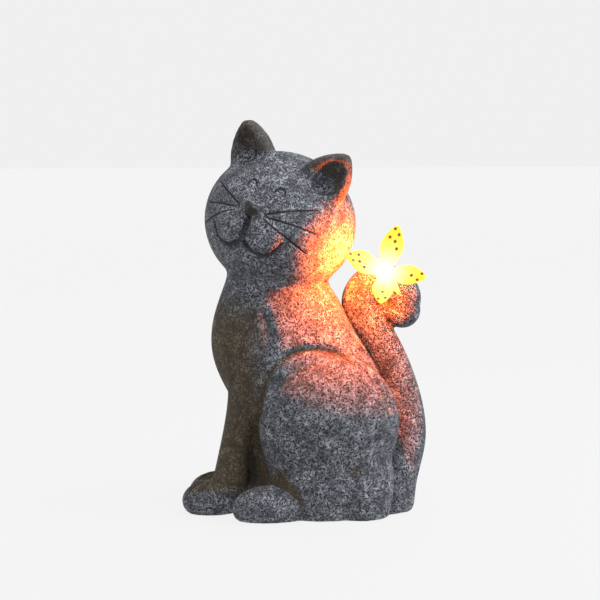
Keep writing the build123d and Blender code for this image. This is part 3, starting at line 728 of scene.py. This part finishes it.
def makeButterflyFinish():
    material, tree, shader = newMaterial("litYellowResin")
    masks = {name: addNode(tree, "ShaderNodeAttribute", attribute_name=name).outputs["Fac"]
             for name in ("spot", "vein", "centre")}
    place = addNode(tree, "ShaderNodeTexCoord").outputs["Object"]
    cloud = addNode(tree, "ShaderNodeTexNoise", Scale=160.0, Detail=3.0)
    tree.links.new(place, cloud.inputs["Vector"])
    colour = addMix(tree, cloud.outputs["Fac"], butterfly["yellow"], butterfly["edge"])
    colour = addMix(tree, addMath(tree, "MULTIPLY", masks["vein"], 0.5), colour, (0.80, 0.30, 0.01))
    colour = addMix(tree, masks["spot"], colour, butterfly["spot"])
    tree.links.new(colour, shader.inputs["Base Color"])
    glow = addMix(tree, cloud.outputs["Fac"], butterfly["glowYellow"], (1.0, 0.86, 0.03))
    glow = addMix(tree, addMath(tree, "MULTIPLY", masks["vein"], 0.45), glow, (0.75, 0.32, 0.01))
    glow = addMix(tree, masks["centre"], glow, butterfly["glowCentre"])
    glow = addMix(tree, masks["spot"], glow, (0.10, 0.008, 0.002))
    tree.links.new(glow, shader.inputs["Emission Color"])
    shader.inputs["Emission Strength"].default_value = butterfly["glowStrength"]
    shader.inputs["Roughness"].default_value = 0.28
    bump = addNode(tree, "ShaderNodeBump", Strength=0.3, Distance=0.0002)
    tree.links.new(cloud.outputs["Fac"], bump.inputs["Height"])
    tree.links.new(bump.outputs["Normal"], shader.inputs["Normal"])
    return material


def makeFlyBody():
    piece = copyOfNode("butterfly_body", "butterflyBody")
    remeshed(piece, 0.4 * mm, 2)
    places = readPlaces(piece)
    flat = flatOffset(places)
    along = flat @ np.array(flyAhead) / mm
    rings = 0.5 + 0.5 * np.cos(along * 2 * math.pi / 2.4)
    rings = rings * (1 - easeIn(along, -4, -1))
    writePlaces(piece, places - readNormals(piece) * ((1 - rings) * easeIn(-along, 1, 4) * 0.2 * mm)[:, None])
    reach = np.linalg.norm(flat, axis=1) / mm
    writeMask(piece, "centre", np.exp(-(reach / 11) ** 2))
    return piece


wingPiece = makeWings()
flyBody = makeFlyBody()
butterflyFinish = makeButterflyFinish()
for piece, node in ((wingPiece, "butterfly_wings"), (flyBody, "butterfly_body")):
    piece.data.materials.append(butterflyFinish)
    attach(piece, "figurine")
    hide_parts(node)
    print(piece.name, "has", len(piece.data.vertices), "points")

glowPlace = wingRoot + lampAxis * studio["lampReach"] + Vector((0, studio["lampShift"], 0))
makeGlow("lampGlow", glowPlace, (cat, tail))

# finishes of the smaller parts
# colour, roughness, metal, grain per metre and bump of each small finish
smallFinishes = {
    "base_plastic": ((0.022, 0.022, 0.024), 0.55, 0.0, 1500, 0.25),
    "screw_steel": ((0.52, 0.52, 0.53), 0.30, 1.0, 2500, 0.10),
    "seal_rubber": ((0.012, 0.012, 0.012), 0.80, 0.0, 1200, 0.20),
    "cell_wrap": ((0.06, 0.24, 0.10), 0.32, 0.0, 700, 0.04),
    "contact_metal": ((0.66, 0.64, 0.60), 0.28, 1.0, 2000, 0.08),
    "board_laminate": ((0.01, 0.12, 0.045), 0.35, 0.0, 600, 0.10),
    "chip_black": ((0.015, 0.015, 0.016), 0.50, 0.0, 3000, 0.12),
    "ferrite": ((0.05, 0.05, 0.055), 0.60, 0.0, 2500, 0.25),
    "capacitor_sleeve": ((0.025, 0.04, 0.12), 0.30, 0.0, 900, 0.05),
    "switch_body": ((0.018, 0.018, 0.02), 0.42, 0.0, 1800, 0.12),
    "button_plastic": ((0.42, 0.022, 0.016), 0.34, 0.0, 1500, 0.10),
    "silicone": ((0.48, 0.48, 0.46), 0.48, 0.0, 800, 0.15),
    "panel_frame": ((0.016, 0.016, 0.019), 0.50, 0.0, 1600, 0.22),
    "panel_laminate": ((0.70, 0.71, 0.69), 0.45, 0.0, 900, 0.08),
    "lead_red": ((0.40, 0.015, 0.012), 0.38, 0.0, 900, 0.05),
    "lead_black": ((0.014, 0.014, 0.015), 0.38, 0.0, 900, 0.05),
    "led_metal": ((0.66, 0.66, 0.65), 0.30, 1.0, 2500, 0.08),
}


def makeSmallFinish(name, facts):
    base, roughness, metal, grainScale, bumpStrength = facts
    material, tree, shader = newMaterial(name + "Finish")
    place = addNode(tree, "ShaderNodeTexCoord").outputs["Object"]
    grain = addNode(tree, "ShaderNodeGroup", node_tree=grainGroup)
    grain.inputs["Grain scale"].default_value = grainScale
    tree.links.new(place, grain.inputs["Vector"])
    pale = tuple(min(1.0, channel * 1.25 + 0.006) for channel in base)
    deep = tuple(channel * 0.78 for channel in base)
    colour = addMix(tree, grain.outputs["Mottle"], deep, pale)
    tree.links.new(colour, shader.inputs["Base Color"])
    spread = addMath(tree, "MULTIPLY", addMath(tree, "SUBTRACT", grain.outputs["Mottle"], 0.5), 0.25)
    tree.links.new(addMath(tree, "ADD", spread, roughness, clamp=True), shader.inputs["Roughness"])
    shader.inputs["Metallic"].default_value = metal
    bump = addNode(tree, "ShaderNodeBump", Strength=bumpStrength, Distance=0.0002)
    tree.links.new(grain.outputs["Grain"], bump.inputs["Height"])
    tree.links.new(bump.outputs["Normal"], shader.inputs["Normal"])
    return material


# fine silver fingers across the cell and busbars up it; slope turns height into length along the cell
solar = {
    "pitch": 2.6 * mm,
    "finger": 0.12,
    "barPitch": 11.3 * mm,
    "bar": 0.09,
    "slope": 0.848,
    "blue": (0.008, 0.012, 0.05),
    "silver": (0.42, 0.43, 0.45),
}


def makeSolarFinish():
    material, tree, shader = newMaterial("solarCellFinish")
    place = addNode(tree, "ShaderNodeTexCoord").outputs["Object"]
    split = addNode(tree, "ShaderNodeSeparateXYZ")
    tree.links.new(place, split.inputs["Vector"])
    rows = addMath(tree, "DIVIDE", split.outputs["Z"], solar["pitch"] * solar["slope"])
    along = addMath(tree, "FRACT", rows)
    finger = addMath(tree, "LESS_THAN", along, solar["finger"])
    across = addMath(tree, "FRACT", addMath(tree, "DIVIDE", split.outputs["Y"], solar["barPitch"]))
    bar = addMath(tree, "LESS_THAN", across, solar["bar"])
    lines = addMath(tree, "MAXIMUM", finger, bar)
    crystal = addNode(tree, "ShaderNodeTexVoronoi", Scale=260.0)
    tree.links.new(place, crystal.inputs["Vector"])
    blue = addMix(tree, crystal.outputs["Distance"], solar["blue"], (0.02, 0.035, 0.12))
    tree.links.new(addMix(tree, lines, blue, solar["silver"]), shader.inputs["Base Color"])
    rough = addMath(tree, "ADD", addMath(tree, "MULTIPLY", crystal.outputs["Distance"], 0.12), 0.2)
    tree.links.new(rough, shader.inputs["Roughness"])
    return material


def makeClearFinish():
    material, tree, shader = newMaterial("clearCoverFinish")
    shader.inputs["Base Color"].default_value = (0.96, 0.98, 1.0, 1)
    shader.inputs["Roughness"].default_value = 0.03
    shader.inputs["Transmission Weight"].default_value = 1.0
    shader.inputs["IOR"].default_value = 1.45
    return material


def makeLampFinish():
    material, tree, shader = newMaterial("litLampFinish")
    shader.inputs["Base Color"].default_value = (1.0, 0.86, 0.55, 1)
    shader.inputs["Emission Color"].default_value = (1.0, 0.72, 0.30, 1)
    shader.inputs["Emission Strength"].default_value = 2.0
    shader.inputs["Roughness"].default_value = 0.15
    return material


finishes = {name: makeSmallFinish(name, facts) for name, facts in smallFinishes.items()}
finishes["solar_silicon"] = makeSolarFinish()
finishes["clear_cover"] = makeClearFinish()
finishes["led_epoxy"] = makeLampFinish()
finishes["stone_grey_casting"] = stoneFinish
finishes["butterfly_resin"] = butterflyFinish
for row in frame["record"]["subparts"]:
    node = frame["nodes"][row["node"]]
    node.data.materials.clear()
    node.data.materials.append(finishes[row["material_slot"]])
print("every part has its finish")
